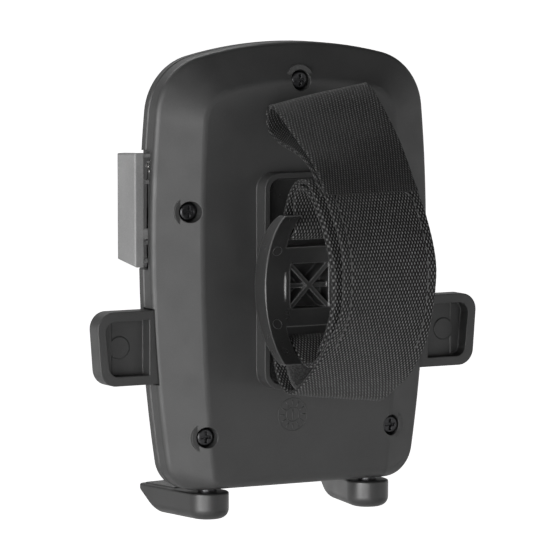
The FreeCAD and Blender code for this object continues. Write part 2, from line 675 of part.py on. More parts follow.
def clamp_parts():
    arm("left_arm", -1, 1)
    arm("right_arm", 1, -1)
    jaw_pad("left_jaw_pad", -1)
    jaw_pad("right_jaw_pad", 1)
    pinion()
    keep("pinion_pin", rod("pinion_pin_rod", "y", (0, y_at(2.5), "arm_z"), 1.5, 11.7))
    plate = box("mechanism_block", (-28, 28), (y_at("plate_rise"), y_at("plate_rise + plate_thick")),
                ("arm_z - 16.1", "pawl_z + 3"))
    corners = rounded("mechanism_round", plate, 3, along("y"))
    holes = [rod(f"mechanism_hole_{number}", "y", (str(x), y_at(9), f"base_z + {z}"), "thread_radius + 0.05", 4)
             for number, (x, z) in enumerate(PLATE_SCREWS)]
    holes.append(rod("mechanism_pin_hole", "y", (0, y_at(9), "arm_z"), 1.5, 4))
    holes.append(rod("mechanism_pawl_hole", "y", ("-pawl_x", y_at(9), "pawl_z"), 1.2, 4))
    keep("mechanism_plate", cut("mechanism_cut", corners, *holes))
    low = dim("panel_y") + dim("arm_depth") + dim("arm_thick")
    keep("arm_spring", coil("arm_spring_coil", "y", (0, low + 2.15, dim("arm_z")), 3.2, 0.35, 4, 0.6))


# ---------------------------------------------------------------- release button and pawl

def release_parts():
    reach, cap = dim("button_reach"), dim("button_cap")
    rear, front = dim("panel_y") + dim("button_depth"), dim("panel_y") + dim("button_front")
    low, high = dim("button_low"), dim("button_high")
    shape = prism([(rear, low), (front, low + dim("button_taper")), (front, high - dim("button_top_taper")),
                   (rear, high)], "x", -reach, -reach + cap)
    inside = -reach + cap
    shape = shape.makeFillet(0.5, [edge for edge in shape.Edges if edge.BoundBox.XMax < -reach + 0.01])
    push_low, push_high = dim("push_low"), dim("push_low") + 2.4
    rod_solid = prism([(rear + 0.1, push_low), (rear + 1.4, push_low), (rear + 1.4, push_high),
                       (rear + 0.1, push_high)], "x", inside, -15.0)
    legs = [prism([(rear + 0.6, z - 0.45), (rear + 2.4, z - 0.45), (rear + 2.4, z + 0.45),
                   (rear + 0.6, z + 0.45)], "x", inside, inside + 3.0) for z in BUTTON_LEGS]
    keep("release_button", fixed("release_button_solid", shape.fuse([rod_solid] + legs).removeSplitter()))
    spring_place = (inside + dim("button_travel") + 0.6, dim("panel_y") + dim("spring_depth"), dim("spring_z"))
    keep("button_spring", coil("button_spring_coil", "x", spring_place, 1.3, 0.3, 9, 0.55))
    pin_z = dim("pawl_z")
    rear_arm = dim("panel_y") + dim("arm_depth")
    lever = prism([(-14.6, 15.0), (-12.2, 15.0), (-9.4, pin_z), (-12, pin_z - 2.6), (-17.5, -3.4),
                   (-18.8, -5.9), (-19.8, -5.9), (-18.8, -1.6), (-14.6, pin_z + 1.5)], "y",
                  rear_arm + 0.2, rear_arm + 3.6)
    eye = Part.makeCylinder(2.6, 3.4, VECTOR(-12, rear_arm + 0.2, pin_z), VECTOR(0, 1, 0))
    hole = Part.makeCylinder(1.25, 6, VECTOR(-12, rear_arm - 1, pin_z), VECTOR(0, 1, 0))
    keep("ratchet_pawl", fixed("ratchet_pawl_solid", lever.fuse(eye).cut(hole).removeSplitter()))
    keep("pawl_pin", rod("pawl_pin_rod", "y", ("-pawl_x", y_at(2.5), "pawl_z"), 1.2, 8.9))
    keep("pawl_spring", coil("pawl_spring_coil", "y", (-12, rear_arm + 3.95, pin_z), 1.75, 0.25, 2, 0.45))


# ---------------------------------------------------------------- feet

def foot_outline(inset, toe_cut=0.0, heel_cut=None):
    """Boat outline of a foot about its pivot, pointing forwards."""
    heel, length, toe = dim("foot_heel") - inset, dim("foot_length") - inset - toe_cut, dim("foot_toe_half") - inset
    if heel_cut is not None:
        points = [VECTOR(toe, heel_cut, 0), VECTOR(toe, length, 0), VECTOR(-toe, length, 0), VECTOR(-toe, heel_cut, 0)]
        return Part.Face(Part.makePolygon(points + points[:1]))
    start, end = VECTOR(heel, 0, 0), VECTOR(-heel, 0, 0)
    edges = [Part.Arc(end, VECTOR(0, -heel, 0), start).toShape(),
             Part.LineSegment(start, VECTOR(toe, length, 0)).toShape(),
             Part.LineSegment(VECTOR(toe, length, 0), VECTOR(-toe, length, 0)).toShape(),
             Part.LineSegment(VECTOR(-toe, length, 0), end).toShape()]
    return Part.Face(Part.Wire(edges))


def foot_solid():
    """A foot with a slanted toe, a keel-like underside, a pad recess and a stem bore."""
    tall = dim("foot_tall")
    solid = foot_outline(0).extrude(VECTOR(0, 0, -tall))
    toe_corners = [edge for edge in solid.Edges if along("z")(edge) and edge.BoundBox.YMin > 5]
    solid = solid.makeFillet(1.6, toe_corners)
    length = dim("foot_length")
    slope = prism([(length - 8.6, -tall - 1), (length - 8.2, -tall + 0.1), (length + 0.4, -0.2), (length + 5, -0.2),
                   (length + 5, -tall - 1)], "x", -10, 10)
    solid = solid.cut(slope)
    keel = [edge for edge in solid.Edges
            if edge.BoundBox.ZMax < -tall + 0.3 and edge.BoundBox.YLength > 3]
    solid = solid.makeFillet(2.4, keel)
    brim = [edge for edge in solid.Edges if edge.BoundBox.ZMin > -0.01 and edge.Length > 1]
    solid = solid.makeFillet(0.5, brim)
    recess = foot_outline(1.3, heel_cut=8.6).extrude(VECTOR(0, 0, -0.8))
    bore = Part.makeCylinder(dim("stem_radius") + 0.05, 3.2, VECTOR(0, 0, -3.2))
    screw_bore = Part.makeCylinder(dim("thread_radius") + 0.1, 12, VECTOR(0, 0, -11))
    head_well = Part.makeCylinder(2.0, 2, VECTOR(0, 0, -tall - 0.4))
    return solid.cut(recess).cut(bore).cut(screw_bore).cut(head_well)


def stem_solid(side):
    """A round stem with a side flat that a cover screw runs in."""
    top = dim("stem_top") + dim("foot_gap")
    radius = dim("stem_radius")
    shape = Part.makeCylinder(radius, top + 3.1, VECTOR(0, 0, -3.1))
    flat_low, flat_high = 3.0 + dim("foot_gap"), top - 2.2
    flat = Part.makeBox(4, 8, flat_high - flat_low, VECTOR(1.45, -4, flat_low))
    tap = Part.makeCylinder(dim("thread_radius") + 0.05, 6, VECTOR(0, 0, -3.2))
    shape = shape.cut(flat).cut(tap)
    return shape if side > 0 else shape.mirror(VECTOR(), VECTOR(1, 0, 0))


def feet():
    z = dim("base_z") - dim("foot_gap")
    for name, side in (("left", -1), ("right", 1)):
        place = VECTOR(side * dim("foot_x"), dim("panel_y") + dim("foot_depth"), z)
        turn = FreeCAD.Rotation(VECTOR(0, 0, 1), -side * dim("foot_splay"))
        foot = keep(f"{name}_foot", fixed(f"{name}_foot_solid", foot_solid()))
        foot.Placement = FreeCAD.Placement(place, turn)
        pad_shape = foot_outline(1.4, heel_cut=8.7).extrude(VECTOR(0, 0, 1.1))
        pad_shape = pad_shape.makeFillet(0.3, [edge for edge in pad_shape.Edges if edge.BoundBox.ZMin > 1.09])
        pad = keep(f"{name}_foot_pad", fixed(f"{name}_foot_pad_solid", pad_shape))
        pad.Placement = FreeCAD.Placement(place + VECTOR(0, 0, -0.8), turn)
        stem = keep(f"{name}_foot_stem", fixed(f"{name}_foot_stem_solid", stem_solid(side)))
        stem.Placement = FreeCAD.Placement(place, FreeCAD.Rotation())
        x = f"{side} * foot_x"
        guide = tube(f"{name}_guide_tube", "z", (x, y_at("foot_depth"), "base_z + wall + 0.5"),
                     "stem_radius + 1.2", "stem_radius + 0.1", 5.9)
        keep(f"{name}_foot_guide", guide)
        tall = dim("foot_tall")
        shank = Part.makeCylinder(dim("thread_radius"), tall + 0.2, VECTOR(0, 0, 1.2 - tall))
        head = Part.makeCylinder(1.8, 1.2, VECTOR(0, 0, 0.2 - tall))
        body = head.fuse(shank)
        body.translate(place)
        keep(f"{name}_foot_screw", fixed(f"{name}_foot_screw_solid", body))


# ---------------------------------------------------------------- saddle

def saddle():
    """Crescent saddle with side rails, strap rods, strap slots, a cored block and a foot plate."""
    wide = ("-saddle_half", "saddle_half")
    outer = rod("saddle_back", "x", ("-saddle_half", y_at("-back_rise - back_radius"), 0), "back_radius",
                "2 * saddle_half")
    envelope = box("saddle_envelope", wide, (y_at("-cradle_rise - 12"), y_at("-back_rise + 1")),
                   ("-saddle_tall", "saddle_tall"))
    hollow = rod("saddle_hollow", "x", ("-saddle_half - 1", y_at("-cradle_rise - cradle_radius"), 0),
                 "cradle_radius", "2 * saddle_half + 2")
    crescent = cut("saddle_crescent", common("saddle_front", outer, envelope), hollow)
    slots = [box(f"strap_slot_{name}", ("-rail_inner", "rail_inner"), (y_at(-30), y_at(-5)), span)
             for name, span in (("upper", ("crossbar_tall", "saddle_tall + 1")),
                                ("lower", ("-saddle_tall - 1", "-crossbar_tall")))]
    slotted = cut("saddle_slotted", crescent, *slots)
    rods = [rod(f"horn_rod_{name}", "x", ("-rail_inner - 0.6", y_at("-horn_rod_rise"), height),
                "horn_rod_radius", "2 * rail_inner + 1.2")
            for name, height in (("upper", "horn_rod_z"), ("lower", "-horn_rod_z"))]
    block = box("saddle_core", ("-rail_inner + 0.8", "rail_inner - 0.8"),
                (y_at("-block_rise"), y_at("-back_rise")), ("-block_tall", "block_tall"))
    post = box("saddle_post", ("-post_half", "post_half"),
               (y_at("-block_rise + cell_depth"), y_at("-socket_floor - 0.5")), ("-post_tall", "post_tall"))
    plate_side, plate_tall = "collar_half - collar_lip - 0.2", "collar_tall - collar_lip - 0.2"
    plate = box("saddle_plate", (f"-({plate_side})", plate_side),
                (y_at("-socket_floor - foot_plate"), y_at("-socket_floor")), (f"-({plate_tall})", plate_tall))
    plate = rounded("saddle_plate_round", plate, 2.4, along("y"))
    cells = []
    for side in (-1, 1):
        middle = f"{side} * (rail_inner - 0.8) / 2"
        half = "(rail_inner - 0.8) / 2 - cell_wall * 0.75"
        tall = "block_tall - cell_wall * 0.8"
        room = box(f"cell_room_{side + 1}", (f"{middle} - ({half})", f"{middle} + ({half})"),
                   (y_at("-block_rise - 2"), y_at("-block_rise + cell_depth")), (f"-({tall})", tall))
        ribs = [cell_rib(f"cell_rib_{side + 1}_{number}", side, angle)
                for number, angle in enumerate((45, -45, 0))]
        cells.append(cut(f"cell_{side + 1}", room, *ribs))
    pilots = [rod(f"saddle_pilot_{side + 1}", "y", (6 * side, y_at(-9), 0), "thread_radius + 0.05", 10)
              for side in (-1, 1)]
    solid = cut("saddle_cored", fuse("saddle_solid", slotted, block, post, plate, *rods), *cells, *pilots)
    keep("handlebar_saddle", solid)


def cell_rib(name, side, angle):
    """One rib across a cell, turned about the cell's middle."""
    middle = side * (dim("rail_inner") - 0.8) / 2
    rise = dim("panel_y") - dim("block_rise")
    shape = Part.makeBox(24, dim("cell_depth") + 4, dim("cell_rib"),
                         VECTOR(-12, -0.35 if angle else 0.5, -dim("cell_rib") / 2))
    shape.rotate(VECTOR(), VECTOR(0, 1, 0), angle)
    shape.translate(VECTOR(middle, rise + 0.5, 0))
    return fixed(name, shape)


# ---------------------------------------------------------------- strap

def route_edges(points):
    """Straight runs joined by tangent arcs along a route, a run and an arc for each corner."""
    corners = [VECTOR(0, dim("panel_y") + depth, z) for depth, z in points]
    edges = []
    start = corners[0]
    for before, corner, after in zip(corners, corners[1:], corners[2:]):
        into, out = corner - before, after - corner
        trim = 0.45 * min(into.Length, out.Length)
        into.normalize()
        out.normalize()
        first, last = corner - into * trim, corner + out * trim
        turn = into.getAngle(out)
        if turn < 0.02:
            continue
        radius = trim / math.tan(turn / 2)
        bisector = out - into
        bisector.normalize()
        reach = radius / math.cos(turn / 2)
        middle = corner + bisector * (reach - radius)
        edges.append(Part.LineSegment(start, first).toShape())
        edges.append(Part.Arc(first, middle, last).toShape())
        start = last
    edges.append(Part.LineSegment(start, corners[-1]).toShape())
    return edges


def band(edges, low, high, half_width):
    """A ribbon that fills the space between two offsets from a route."""
    wire = Part.Wire(edges).makeOffset2D(low, 0, False, True, False)
    face = wire.makeOffset2D(high - low, 0, True, True, False)
    shape = face.extrude(VECTOR(2 * half_width, 0, 0))
    shape.translate(VECTOR(-half_width, 0, 0))
    return shape


# Depth and height of the webbing's path, from the sewn end around the upper horn bar, round the
# handlebar, through the lower slot and back over itself to the loose pull tab.
HORN_LOOP = [(-24.6, 21.4), (-21.2, 21.0), (-20.6, 13.4), (-18.2, 10.9), (-15.2, 11.8), (-14.5, 15.8),
             (-16.3, 20.4), (-19.6, 24.3), (-24.4, 25.2), (-29.4, 21.6)]
INNER_LEG = [(-34.6, 14.6), (-38.2, 8.2), (-39.0, 1.8), (-38.0, -4.6), (-34.6, -11.2), (-30.0, -15.4),
             (-24.0, -15.9), (-17.0, -11.5)]
OUTER_LEG = [(-12.9, -11.8), (-10.4, -14.6), (-10.1, -18.4), (-12.0, -23.6), (-15.6, -26.3), (-21.0, -25.0),
             (-29.0, -19.9), (-36.4, -12.6), (-40.8, -5.6), (-42.5, 1.6), (-42.1, 9.2), (-38.4, 17.0),
             (-32.4, 24.6), (-27.4, 30.8), (-20.8, 36.4), (-12.4, 42.6)]
# The runs of the route that carry the hook tape, on the side that faces the handlebar.
TAPE_EDGES = slice(48, 58)


def strap():
    half, web = dim("strap_half"), dim("web")
    edges = route_edges(HORN_LOOP + INNER_LEG + OUTER_LEG)
    keep("strap_webbing", fixed("strap_webbing_band", band(edges, -web / 2, web / 2, half)))
    tape = band(edges[TAPE_EDGES], web / 2, web / 2 + dim("tape"), dim("tape_half"))
    keep("strap_hook_tape", fixed("strap_hook_tape_band", tape))


rear_cover()
front_cover()
phone_pad()
fasteners()
clamp_parts()
release_parts()
feet()
saddle()
strap()
doc.recompute()

failed = [item.Name for item in doc.Objects if {"Invalid", "Error"} & set(item.State)]
if failed:
    raise SystemExit(f"failed objects: {failed}")
for node, item in nodes.items():
    shape = item.Shape
    if shape.isNull() or not shape.isValid() or shape.Volume <= 0:
        raise SystemExit(f"{node} has no valid shape")

os.makedirs("parts", exist_ok=True)
for node, item in nodes.items():
    item.Shape.exportStep(f"parts/{node}.step")
print(f"wrote {len(nodes)} nodes")
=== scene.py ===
import json
import math

import bpy
import numpy as np
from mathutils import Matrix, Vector


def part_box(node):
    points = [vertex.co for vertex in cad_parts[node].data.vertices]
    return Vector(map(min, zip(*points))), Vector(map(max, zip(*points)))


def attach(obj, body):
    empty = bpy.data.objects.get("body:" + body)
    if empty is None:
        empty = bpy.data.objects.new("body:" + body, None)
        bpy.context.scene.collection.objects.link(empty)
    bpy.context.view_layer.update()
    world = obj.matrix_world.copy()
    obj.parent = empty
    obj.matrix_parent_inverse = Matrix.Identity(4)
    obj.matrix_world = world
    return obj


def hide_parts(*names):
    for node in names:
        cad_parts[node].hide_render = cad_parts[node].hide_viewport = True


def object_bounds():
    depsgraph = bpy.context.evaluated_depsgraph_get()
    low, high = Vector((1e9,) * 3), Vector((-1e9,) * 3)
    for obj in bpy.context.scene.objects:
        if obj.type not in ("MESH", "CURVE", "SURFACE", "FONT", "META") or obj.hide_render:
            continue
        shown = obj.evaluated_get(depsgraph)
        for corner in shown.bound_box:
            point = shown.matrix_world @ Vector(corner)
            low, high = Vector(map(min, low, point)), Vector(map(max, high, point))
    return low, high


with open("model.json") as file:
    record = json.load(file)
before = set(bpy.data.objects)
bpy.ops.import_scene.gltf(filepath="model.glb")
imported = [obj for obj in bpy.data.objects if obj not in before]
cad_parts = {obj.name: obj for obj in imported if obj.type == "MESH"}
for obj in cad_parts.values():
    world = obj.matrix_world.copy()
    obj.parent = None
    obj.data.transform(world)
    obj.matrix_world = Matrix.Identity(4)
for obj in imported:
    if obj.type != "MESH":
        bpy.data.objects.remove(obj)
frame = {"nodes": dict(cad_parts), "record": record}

CAD_BOX = [list(corner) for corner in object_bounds()]
MM = 0.001

# Routes and places below are in millimetres. "Depth" is measured forwards from the flat rear
# panel and "height" upwards from the centre of the handlebar.
PANEL_Y = 26.0
HALF_WIDTH = 12.5
STRAP_SHIFT = -0.7
TAPE_HALF = 10.0
# Thicknesses of the webbing, the pull tab and the hook tape.
WEB = 0.95
TAB = 0.95
PILE = 0.8
# Distance between neighbouring yarns, across and along each weave, and the slant of the tab's.
WEB_WEAVE = (0.4, 0.8)
TAB_WEAVE = (0.36, 0.62)
TAB_SLANT = 0.3


# ---------------------------------------------------------------- studio

def aim(thing, target):
    """Turns a camera or light so that it looks at a point."""
    direction = Vector(target) - thing.location
    thing.rotation_euler = direction.to_track_quat("-Z", "Y").to_euler()


def add_camera():
    """Long lens behind the holder, to its left and a little above."""
    target = Vector((-5.66, 26.31, -0.1)) * MM
    azimuth, elevation, distance = math.radians(-29), math.radians(5.5), 1.15
    back = Vector((math.sin(azimuth) * math.cos(elevation),
                   -math.cos(azimuth) * math.cos(elevation),
                   math.sin(elevation)))
    data = bpy.data.cameras.new("camera")
    data.sensor_width = 36.0
    data.lens = 313.5
    data.clip_end = 50.0
    camera = bpy.data.objects.new("camera", data)
    bpy.context.scene.collection.objects.link(camera)
    camera.location = target + back * distance
    aim(camera, target)
    bpy.context.scene.camera = camera


def softbox(name, place, size, power, target=(0.0, 0.0, 0.0)):
    """Rectangular area light at a place, aimed at a target."""
    data = bpy.data.lights.new(name, "AREA")
    data.shape = "RECTANGLE"
    data.size, data.size_y = size
    data.energy = power
    light = bpy.data.objects.new(name, data)
    bpy.context.scene.collection.objects.link(light)
    light.location = place
    aim(light, target)


def add_world(horizon, overhead):
    """Surroundings that are pale near the horizon and dim overhead."""
    world = bpy.data.worlds.new("surroundings")
    world.use_nodes = True
    tree = world.node_tree
    direction = tree.nodes.new("ShaderNodeTexCoord")
    split = tree.nodes.new("ShaderNodeSeparateXYZ")
    fade = tree.nodes.new("ShaderNodeMapRange")
    for name, part in (("From Min", 0.22), ("From Max", 0.42), ("To Min", horizon), ("To Max", overhead)):
        fade.inputs[name].default_value = part
    background = tree.nodes["Background"]
    background.inputs["Color"].default_value = (1.0, 1.0, 1.0, 1.0)
    tree.links.new(direction.outputs["Generated"], split.inputs[0])
    tree.links.new(split.outputs["Z"], fade.inputs["Value"])
    tree.links.new(fade.outputs["Result"], background.inputs["Strength"])
    bpy.context.scene.world = world


def add_floor(drop):
    """Wide pale floor some way below the feet."""
    low = CAD_BOX[0][2] - drop
    reach = 12.0
    mesh = bpy.data.meshes.new("floor")
    corners = [(-reach, -reach, low), (reach, -reach, low), (reach, reach, low), (-reach, reach, low)]
    mesh.from_pydata(corners, [], [(0, 1, 2, 3)])
    floor = bpy.data.objects.new("floor", mesh)
    bpy.context.scene.collection.objects.link(floor)
    paint = Graph("floor_paper")
    speckle = paint.noise(paint.coordinates(), 40.0, 3.0)
    paint.set_colour(paint.blend(speckle, (0.90, 0.90, 0.90), (0.93, 0.93, 0.93)))
    paint.value("Roughness", 0.9)
    away = paint.add("ShaderNodeVectorMath", operation="LENGTH")
    paint.feed(away.inputs[0], paint.coordinates())
    glow = paint.spread(away.outputs["Value"], 1.0, 1.7, 0.05, 1.0)
    paint.feed(paint.shader.inputs["Emission Strength"], glow)
    paint.shader.inputs["Emission Color"].default_value = (1.0, 1.0, 1.0, 1.0)
    mesh.materials.append(paint.material)


# ---------------------------------------------------------------- materials

class Graph:
    """One material and short calls that add nodes to it."""

    def __init__(self, name):
        self.material = bpy.data.materials.new(name)
        self.material.use_nodes = True
        self.tree = self.material.node_tree
        self.shader = self.tree.nodes["Principled BSDF"]

    def add(self, kind, **settings):
        node = self.tree.nodes.new(kind)
        for key, setting in settings.items():
            setattr(node, key, setting)
        return node

    def feed(self, socket, source):
        """A number, a colour or another node's output goes into a socket."""
        if isinstance(source, bpy.types.NodeSocket):
            self.tree.links.new(source, socket)
        elif isinstance(source, tuple) and len(source) == 3 and len(socket.default_value) == 4:
            socket.default_value = (*source, 1.0)
        else:
            socket.default_value = source

    def value(self, name, number):
        self.shader.inputs[name].default_value = number

    def coordinates(self):
        return self.add("ShaderNodeTexCoord").outputs["Object"]

    def noise(self, where, scale, detail=2.0):
        node = self.add("ShaderNodeTexNoise")
        self.feed(node.inputs["Vector"], where)
        node.inputs["Scale"].default_value = scale
        node.inputs["Detail"].default_value = detail
        return node.outputs["Fac"]

    def grains(self, where, scale):
        node = self.add("ShaderNodeTexVoronoi")
        self.feed(node.inputs["Vector"], where)
        node.inputs["Scale"].default_value = scale
        return node.outputs["Distance"]

    def maths(self, operation, first, second=0.0, third=0.0):
        node = self.add("ShaderNodeMath", operation=operation)
        for socket, source in zip(node.inputs, (first, second, third)):
            self.feed(socket, source)
        return node.outputs[0]

    def spread(self, source, low, high, to_low=0.0, to_high=1.0):
        """Maps low..high onto another range and clamps it."""
        node = self.add("ShaderNodeMapRange")
        for name, part in (("Value", source), ("From Min", low), ("From Max", high),
                           ("To Min", to_low), ("To Max", to_high)):
            self.feed(node.inputs[name], part)
        return node.outputs[0]

    def blend(self, amount, first, second):
        node = self.add("ShaderNodeMix", data_type="RGBA")
        colours = [socket for socket in node.inputs if socket.type == "RGBA"]
        self.feed(node.inputs["Factor"], amount)
        self.feed(colours[0], first)
        self.feed(colours[1], second)
        return next(socket for socket in node.outputs if socket.type == "RGBA")

    def bump(self, height, depth_mm, under=None):
        node = self.add("ShaderNodeBump")
        node.inputs["Strength"].default_value = 1.0
        node.inputs["Distance"].default_value = depth_mm * MM
        self.feed(node.inputs["Height"], height)
        if under is not None:
            self.feed(node.inputs["Normal"], under)
        return node.outputs["Normal"]

    def round_edges(self, radius_mm):
        node = self.add("ShaderNodeBevel", samples=6)
        node.inputs["Radius"].default_value = radius_mm * MM
        return node.outputs["Normal"]

    def edge_mask(self, radius_mm):
        """1 on a sharp edge and 0 on flat stretches."""
        rounded = self.round_edges(radius_mm)
        flat = self.add("ShaderNodeNewGeometry").outputs["Normal"]
        product = self.add("ShaderNodeVectorMath", operation="DOT_PRODUCT")
        self.feed(product.inputs[0], rounded)
        self.feed(product.inputs[1], flat)
        return self.spread(product.outputs["Value"], 0.99, 0.80)

    def set_colour(self, source):
        self.feed(self.shader.inputs["Base Color"], source)

    def set_roughness(self, source):
        self.feed(self.shader.inputs["Roughness"], source)

    def set_normal(self, source):
        self.feed(self.shader.inputs["Normal"], source)


def grey(level):
    return (level, level, level)


def moulded(name, level, roughness, grain_mm=0.35, grain_depth=0.006, edge=0.3, specular=0.5, edge_highlight_gain=2.6):
    """Moulded plastic: fine spark-eroded grain, slight mottling, edges softened in shading and painted
    paler as a painted highlight.
    """
    g = Graph(name)
    where = g.coordinates()
    mottling = g.noise(where, 90.0, 4.0)
    speckle = g.noise(where, 1.0 / (grain_mm * MM), 2.0)
    base = g.blend(g.spread(mottling, 0.3, 0.7), grey(level * 0.9), grey(level * 1.12))
    flecked = g.blend(g.spread(speckle, 0.45, 0.8, 0.0, 0.35), base, grey(level * 1.7))
    # painted highlight: the edge mask lightens the colour along every edge by the edge highlight gain
    g.set_colour(g.blend(g.maths("MULTIPLY", g.edge_mask(edge), 0.35), flecked, grey(level * edge_highlight_gain)))
    g.set_roughness(g.spread(g.noise(where, 160.0, 3.0), 0.25, 0.75, roughness - 0.05, roughness + 0.06))
    g.value("Specular IOR Level", specular)
    pits = g.bump(speckle, grain_depth, g.round_edges(edge))
    g.set_normal(g.bump(g.noise(where, 420.0, 1.0), grain_depth * 1.5, pits))
    return g.material


def rubber(name, level):
    """Soft matt rubber with a powdery bloom."""
    g = Graph(name)
    where = g.coordinates()
    bloom = g.noise(where, 120.0, 5.0)
    g.set_colour(g.blend(g.spread(bloom, 0.35, 0.7), grey(level), grey(level * 1.8)))
    g.set_roughness(g.spread(bloom, 0.3, 0.7, 0.72, 0.9))
    g.value("Sheen Weight", 0.15)
    g.set_normal(g.bump(g.grains(where, 2600.0), 0.02, g.round_edges(0.25)))
    return g.material


def metal(name, colour, roughness, streak=(1.0, 1.0, 14.0)):
    """Turned or drawn steel with fine streaks."""
    g = Graph(name)
    mapping = g.add("ShaderNodeMapping")
    g.feed(mapping.inputs["Vector"], g.coordinates())
    mapping.inputs["Scale"].default_value = streak
    streaks = g.noise(mapping.outputs["Vector"], 500.0, 3.0)
    darker = tuple(part * 0.72 for part in colour)
    g.set_colour(g.blend(g.spread(streaks, 0.35, 0.7), darker, colour))
    g.value("Metallic", 1.0)
    g.set_roughness(g.spread(streaks, 0.3, 0.7, roughness - 0.08, roughness + 0.1))
    g.set_normal(g.bump(streaks, 0.008, g.round_edges(0.12)))
    return g.material


def woven(name, pitches, dark, light, relief, slant=0.0):
    """Plain-woven nylon, drawn from the cloth attribute, which holds millimetres across and along."""
    g = Graph(name)
    cloth = g.add("ShaderNodeAttribute", attribute_name="cloth").outputs["Vector"]
    split = g.add("ShaderNodeSeparateXYZ")
    g.feed(split.inputs[0], cloth)
    x, s = split.outputs[0], split.outputs[1]
    drift = g.maths("SUBTRACT", g.noise(cloth, 0.35, 2.0), 0.5)
    slanted = g.maths("MULTIPLY_ADD", s, slant, g.maths("MULTIPLY_ADD", drift, 0.25, x))
    across, along = pitches
    warp = g.maths("SINE", g.maths("MULTIPLY", slanted, math.pi / across))
    weft = g.maths("SINE", g.maths("MULTIPLY", s, math.pi / along))
    crossing = g.maths("MULTIPLY", warp, weft)
    crown = g.spread(crossing, 0.0, 0.95)
    fibre = g.noise(cloth, 9.0, 3.0)
    uneven = g.noise(cloth, 1.1, 1.0)
    # painted highlight on each crossing's crown and painted shade in the hollows between: the colour runs
    # from dark to light with the weave's height
    crown_highlight = g.maths("MULTIPLY", crown, g.spread(uneven, 0.25, 0.75, 0.55, 1.15))
    yarn_with_painted_crowns = g.blend(crown_highlight, grey(dark), grey(light))
    dusty = g.blend(g.spread(fibre, 0.55, 0.8, 0.0, 0.15), yarn_with_painted_crowns, grey(light))
    g.set_colour(dusty)
    g.set_roughness(g.spread(fibre, 0.3, 0.7, 0.5, 0.7))
    g.value("Sheen Weight", 0.04)
    g.value("Specular IOR Level", 0.16)
    ridges = g.bump(crown, relief)
    g.set_normal(g.bump(fibre, 0.02, ridges))
    return g.material


def hook_pile(name):
    """Dense black hook pile."""
    g = Graph(name)
    where = g.coordinates()
    tufts = g.grains(where, 2200.0)
    # painted shade: the gaps between the tufts are painted darker and the tuft tips paler, following the
    # bump
    g.set_colour(g.blend(g.spread(tufts, 0.1, 0.7), grey(0.03), grey(0.004)))
    g.value("Roughness", 0.85)
    g.value("Sheen Weight", 0.2)
    g.set_normal(g.bump(g.maths("SUBTRACT", 1.0, tufts), 0.2))
    return g.material


def thread(name):
    """Twisted sewing thread."""
    g = Graph(name)
    where = g.coordinates()
    twist = g.noise(where, 3500.0, 2.0)
    g.set_colour(g.blend(g.spread(twist, 0.35, 0.65), grey(0.005), grey(0.028)))
    g.value("Roughness", 0.55)
    g.value("Sheen Weight", 0.1)
    g.set_normal(g.bump(twist, 0.03))
    return g.material


def make_materials():
    steel = (0.62, 0.61, 0.60)
    return {
        "shell_black": moulded("shell_plastic", 0.017, 0.50),
        # the saddle gets a strong painted highlight along the edges of its rails
        "gloss_black": moulded("saddle_nylon", 0.012, 0.30, 0.6, 0.004, 0.6, edge_highlight_gain=14.0),
        "grey_plastic": moulded("button_plastic", 0.105, 0.48, 0.4, 0.004, 0.25),
        "arm_black": moulded("arm_plastic", 0.017, 0.46, 0.3, 0.006, 0.4),
        "foot_black": moulded("foot_nylon", 0.012, 0.38, 0.5, 0.004, 0.4),
        "soft_rubber": rubber("soft_rubber", 0.012),
        "webbing_black": woven("webbing", WEB_WEAVE, 0.001, 0.12, 0.2),
        "tab_black": woven("tab_webbing", TAB_WEAVE, 0.001, 0.06, 0.18, TAB_SLANT),
        "hook_black": hook_pile("hook_pile"),
        "thread_black": thread("sewing_thread"),
        "screw_black": metal("blackened_screw", (0.05, 0.05, 0.052), 0.32),
        "spring_steel": metal("spring_wire", steel, 0.25),
        "pin_steel": metal("turned_pin", steel, 0.3, (1.0, 14.0, 1.0)),
        "inner_white": moulded("acetal", 0.62, 0.4, 0.5, 0.003, 0.2),
    }


# ---------------------------------------------------------------- mesh helpers

def mesh_piece(name, points, faces, materials, smooth=True):
    """A mesh object from points in millimetres."""
    mesh = bpy.data.meshes.new(name)
    mesh.from_pydata((np.asarray(points, float) * MM).tolist(), [], faces)
    for material in materials:
        mesh.materials.append(material)
    mesh.polygons.foreach_set("use_smooth", [smooth] * len(mesh.polygons))
    mesh.update()
    piece = bpy.data.objects.new(name, mesh)
    bpy.context.scene.collection.objects.link(piece)
    return piece


def tube(line, radius, sides=10, closed=False):
    """Points and faces of a round tube along a line; each end is a small dome unless it is closed."""
    line = np.asarray(line, float)
    count = len(line)
    following = np.roll(line, -1, 0) if closed else np.vstack([line[1:], line[-1:]])
    preceding = np.roll(line, 1, 0) if closed else np.vstack([line[:1], line[:-1]])
    tangents = following - preceding
    tangents /= np.linalg.norm(tangents, axis=1)[:, None]
    guide = np.array([0.0, 0.0, 1.0]) if abs(tangents[0][2]) < 0.9 else np.array([1.0, 0.0, 0.0])
    points = []
    for point, tangent in zip(line, tangents):
        side = np.cross(tangent, guide)
        side /= np.linalg.norm(side)
        guide = np.cross(side, tangent)
        for k in range(sides):
            turn = 2 * math.pi * k / sides
            points.append(point + radius * (math.cos(turn) * side + math.sin(turn) * guide))
    faces = []
    for ring in range(count if closed else count - 1):
        ahead = (ring + 1) % count
        for k in range(sides):
            other = (k + 1) % sides
            faces.append((ring * sides + k, ring * sides + other, ahead * sides + other, ahead * sides + k))
    if not closed:
        for ring, outward in ((0, -1), (count - 1, 1)):
            tip = len(points)
            points.append(line[ring] + outward * tangents[ring] * radius * 0.5)
            for k in range(sides):
                pair = (ring * sides + k, ring * sides + (k + 1) % sides)
                faces.append((*pair[::-1], tip) if outward < 0 else (*pair, tip))
    return points, faces


